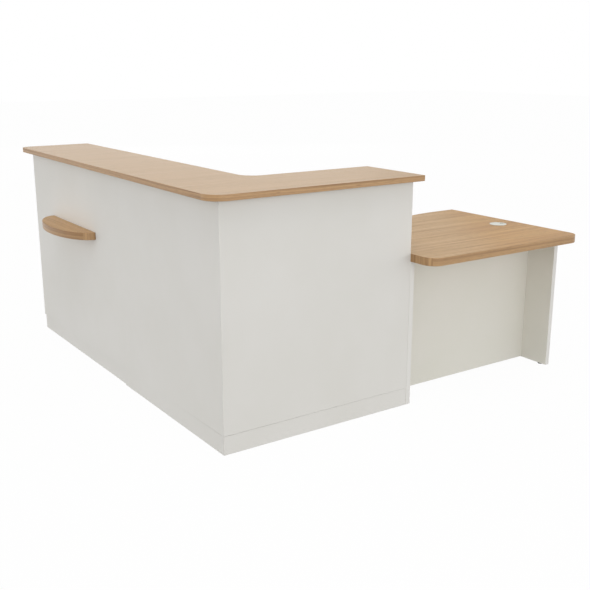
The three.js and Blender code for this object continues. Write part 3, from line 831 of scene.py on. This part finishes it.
def buildRodsAndLinks():
    s = rodAndLink
    for node in ("shelf_rod_near", "shelf_rod_far"):
        low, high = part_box(node)
        radius = (high.z - low.z) / 2
        length = high.x - low.x
        c = s["rodChamfer"]
        bm = turnedShape([(0, 0), (radius - c, 0), (radius, c), (radius, length - c), (radius - c, length), (0, length)],
                         s["sides"], False)
        layAlong(bm, (1, 0, 0), (low.x, (low.y + high.y) / 2, (low.z + high.z) / 2))
        finishPiece(node + "_bar", toMesh(node + "_bar", bm), [zincSteel], [node])
    for node in frame["nodes"]:
        if "_link_" not in node:
            continue
        low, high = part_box(node)
        axis = longAxis(node)
        if node.endswith("_sleeve"):  # the flange faces back along the axis
            direction = [-1.0 if i == axis else 0.0 for i in range(3)]
            top = low[axis]
        else:
            direction = [1.0 if i == axis else 0.0 for i in range(3)]
            top = high[axis]
        side = (axis + 1) % 3
        head = (high[side] - low[side]) / 2
        shank = 0.0047 if node.endswith("_sleeve") else 0.0030
        origin = [(low[i] + high[i]) / 2 for i in range(3)]
        origin[axis] = top
        bm = socketHead(head, 0.0025, shank, high[axis] - low[axis] - 0.0025, s["sides"] + 8, s["headEase"],
                        s["socketAcrossFlats"], s["socketDepth"])
        layAlong(bm, direction, origin)
        finishPiece(node + "_turned", toMesh(node + "_turned", bm), [zincSteel], [node])


buildRodsAndLinks()
print("rods and unit links ready")


# fasteners, set out as points that a node tree turns into heads or caps

screwHeads = {"Head": 0.0078, "Crown": 0.0050, "Height": 0.0021, "Recess": 0.0042, "Slot": 0.0011, "Depth": 0.0013}
flushHeads = {"Head": 0.0076, "Crown": 0.0066, "Height": 0.0006, "Recess": 0.0044, "Slot": 0.0011, "Depth": 0.0005}
coverCaps = {"Cap": 0.018, "Crown": 0.0150, "Height": 0.0011}


def newTree(name, sizes):
    tree = bpy.data.node_groups.new(name, "GeometryNodeTree")
    tree.interface.new_socket("Points", in_out="INPUT", socket_type="NodeSocketGeometry")
    for size in sizes:
        tree.interface.new_socket(size, in_out="INPUT", socket_type="NodeSocketFloat")
    tree.interface.new_socket("Finish", in_out="INPUT", socket_type="NodeSocketMaterial")
    tree.interface.new_socket("Heads", in_out="OUTPUT", socket_type="NodeSocketGeometry")
    return tree, addNode(tree, "NodeGroupInput")


# sets the head on every point, turned to face the way that the point's facing attribute says
def setOut(tree, start, head):
    facing = addNode(tree, "GeometryNodeInputNamedAttribute", {"data_type": "FLOAT_VECTOR"}, {"Name": "facing"})
    turn = addNode(tree, "FunctionNodeAlignRotationToVector", {"axis": "Z"}, {"Vector": facing.outputs[0]})
    spin = addNode(tree, "FunctionNodeRandomValue", {"data_type": "FLOAT"}, {2: 0.0, 3: 1.57, "Seed": 4})
    screwed = addNode(tree, "FunctionNodeRotateRotation", {"rotation_space": "LOCAL"}, {0: turn.outputs[0]})
    about = addNode(tree, "FunctionNodeAxisAngleToRotation", None,
                    {"Axis": (0.0, 0.0, 1.0), "Angle": spin.outputs[1]})
    tree.links.new(about.outputs[0], screwed.inputs[1])
    placed = addNode(tree, "GeometryNodeInstanceOnPoints", None,
                     {"Points": start.outputs["Points"], "Instance": head, "Rotation": screwed.outputs[0]})
    real = addNode(tree, "GeometryNodeRealizeInstances", None, {0: placed.outputs[0]})
    dressed = addNode(tree, "GeometryNodeSetMaterial", None,
                      {"Geometry": real.outputs[0], "Material": start.outputs["Finish"]})
    addNode(tree, "NodeGroupOutput", None, {0: dressed.outputs[0]})


def crossHeadTree():
    tree, start = newTree("crossHeadScrews", screwHeads)
    half = lambda size: addNode(tree, "ShaderNodeMath", {"operation": "MULTIPLY"},
                                {0: start.outputs[size], 1: 0.5}).outputs[0]
    dome = addNode(tree, "GeometryNodeMeshCone", None,
                   {"Vertices": 20, "Radius Top": half("Crown"), "Radius Bottom": half("Head"),
                    "Depth": start.outputs["Height"]})
    arms = []
    for across in ("X", "Y"):
        size = addNode(tree, "ShaderNodeCombineXYZ", None,
                       {across: start.outputs["Recess"], "Y" if across == "X" else "X": start.outputs["Slot"]})
        deep = addNode(tree, "ShaderNodeMath", {"operation": "MULTIPLY"}, {0: start.outputs["Depth"], 1: 2.0})
        tree.links.new(deep.outputs[0], size.inputs["Z"])
        bar = addNode(tree, "GeometryNodeMeshCube", None, {"Size": size.outputs[0]})
        lift = addNode(tree, "ShaderNodeCombineXYZ", None, {"Z": start.outputs["Height"]})
        arms.append(addNode(tree, "GeometryNodeTransform", None,
                            {"Geometry": bar.outputs[0], "Translation": lift.outputs[0]}))
    cut = addNode(tree, "GeometryNodeMeshBoolean", {"operation": "DIFFERENCE", "solver": "EXACT"},
                  {0: dome.outputs[0]})
    for arm in arms:
        tree.links.new(arm.outputs[0], cut.inputs[1])
    setOut(tree, start, cut.outputs[0])
    return tree


def coverCapTree():
    tree, start = newTree("fittingCaps", coverCaps)
    half = lambda size: addNode(tree, "ShaderNodeMath", {"operation": "MULTIPLY"},
                                {0: start.outputs[size], 1: 0.5}).outputs[0]
    rim = addNode(tree, "GeometryNodeMeshCone", None,
                  {"Vertices": 36, "Side Segments": 2, "Radius Top": half("Crown"), "Radius Bottom": half("Cap"),
                   "Depth": start.outputs["Height"]})
    setOut(tree, start, rim.outputs[0])
    return tree


# runs a tree over a set of (place, facing) spots and keeps the result as one plain mesh
def setFasteners(name, tree, sizes, spots, finish):
    mesh = bpy.data.meshes.new(name + "_points")
    mesh.from_pydata([place for place, facing in spots], [], [])
    facings = mesh.attributes.new("facing", "FLOAT_VECTOR", "POINT")
    for item, (place, facing) in zip(facings.data, spots):
        item.vector = facing
    holder = bpy.data.objects.new(name + "_points", mesh)
    bpy.context.scene.collection.objects.link(holder)
    modifier = holder.modifiers.new("setOut", "NODES")
    modifier.node_group = tree
    for item in tree.interface.items_tree:
        if item.in_out == "INPUT" and item.name in sizes:
            modifier[item.identifier] = sizes[item.name]
        elif item.in_out == "INPUT" and item.name == "Finish":
            modifier[item.identifier] = finish
    depsgraph = bpy.context.evaluated_depsgraph_get()
    made = bpy.data.meshes.new_from_object(holder.evaluated_get(depsgraph))
    holder.modifiers.remove(modifier)
    bpy.data.objects.remove(holder)
    made.name = name
    made.materials.clear()
    finishPiece(name, made, [finish])


bracketFaces = {  # the two ways that each bracket's plates face
    "side_front": ((0, 0, -1), (1, 0, 0)), "side_rear": ((0, 0, -1), (1, 0, 0)),
    "leg_front": ((0, 0, -1), (-1, 0, 0)), "leg_rear": ((0, 0, -1), (-1, 0, 0)),
    "modesty_left": ((0, 0, -1), (0, 1, 0)), "modesty_right": ((0, 0, -1), (0, 1, 0)),
    "side_middle": ((0, 1, 0), (1, 0, 0)), "leg_middle": ((0, 1, 0), (-1, 0, 0)),
}
fastenerPlan = {
    "bracketWall": 0.003, "bracketOut": 0.024, "bracketPair": 0.008,
    "battenSpacing": 0.28, "battenEnd": 0.07,
    "postScrews": (0.12, 0.5, 0.88),  # shares of a post's height
    "capFromFront": 0.034, "capFromTop": 0.034,
}


def faceSpot(low, high, facing, sink=0.0):
    place = (low + high) / 2
    axis = max(range(3), key=lambda i: abs(facing[i]))
    place[axis] = high[axis] - sink if facing[axis] > 0 else low[axis] + sink
    return place


def buildFasteners():
    plan = fastenerPlan
    screws = []
    for bracket, faces in bracketFaces.items():
        low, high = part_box("desk_bracket_" + bracket)
        for facing, other in (faces, faces[::-1]):
            axis = max(range(3), key=lambda i: abs(facing[i]))
            run = max(range(3), key=lambda i: abs(other[i]))
            third = 3 - axis - run
            for side in (-1, 1):
                place = (low + high) / 2
                place[axis] = (low[axis] if facing[axis] > 0 else high[axis]) + facing[axis] * plan["bracketWall"]
                place[run] = (low[run] if other[run] > 0 else high[run]) + other[run] * plan["bracketOut"]
                place[third] += side * plan["bracketPair"]
                screws.append((place, facing))
    crossHeads = crossHeadTree()
    setFasteners("bracket_screws", crossHeads, screwHeads, screws, zincSteel)

    flush = []
    for top in ("worktop", "counter"):
        for run in ("left", "right", "straight"):
            node = top + "_batten_" + run
            low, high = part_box(node)
            axis = longAxis(node)
            inward = (0, 1, 0) if run == "right" else (1, 0, 0)
            length = high[axis] - low[axis] - 2 * plan["battenEnd"]
            count = max(2, round(length / plan["battenSpacing"]))
            for facing, stagger in ((inward, 0.0), ((0, 0, -1), 0.035)):
                for k in range(count + 1):
                    place = faceSpot(low, high, facing)
                    place[axis] = low[axis] + plan["battenEnd"] + stagger * (1 - 2 * k / count) + length * k / count
                    flush.append((place, facing))
    for node in ("corner_post_lower", "corner_post_upper", "corner_plinth_block"):
        low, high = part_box(node)
        for facing, shift in (((1, 0, 0), 0.0), ((0, 1, 0), 0.03)):
            for share in plan["postScrews"][::2] if node == "corner_plinth_block" else plan["postScrews"]:
                place = faceSpot(low, high, facing)
                step = 0.0 if node == "corner_plinth_block" else shift
                place.z = low.z + (high.z - low.z) * share - (step if share > 0.5 else -step)
                flush.append((place, facing))
    setFasteners("batten_screws", crossHeads, flushHeads, flush, zincSteel)

    caps = []
    inwardFaces = {"corner_gable_left": (0, -1, 0), "corner_gable_right": (-1, 0, 0),
                   "straight_gable_inner": (0, 1, 0), "straight_gable_outer": (0, -1, 0),
                   "corner_upright_left": (0, -1, 0), "corner_upright_right": (-1, 0, 0),
                   "straight_upright_inner": (0, 1, 0), "straight_upright_outer": (0, -1, 0)}
    for node, facing in inwardFaces.items():
        low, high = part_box(node)
        depth = 0 if facing[0] == 0 else 1  # the axis that runs back from the front panel
        height = high.z - low.z
        front = low[depth] + plan["capFromFront"]
        rows = [(front, low.z + height * share) for share in ((0.24, 0.55, 0.86) if "gable" in node else (0.3, 0.76))]
        edge = high.z - plan["capFromTop"] if "gable" in node else low.z + plan["capFromTop"]
        rows += [(low[depth] + (high[depth] - low[depth]) * share, edge) for share in (0.3, 0.8)]
        for back, z in rows:
            place = faceSpot(low, high, facing)
            place[depth] = back
            place.z = z
            caps.append((place, facing))
    setFasteners("fitting_caps", coverCapTree(), coverCaps, caps, absMoulding)
    return len(screws), len(flush), len(caps)


print("fasteners ready: %d bracket screws, %d batten screws, %d caps" % buildFasteners())
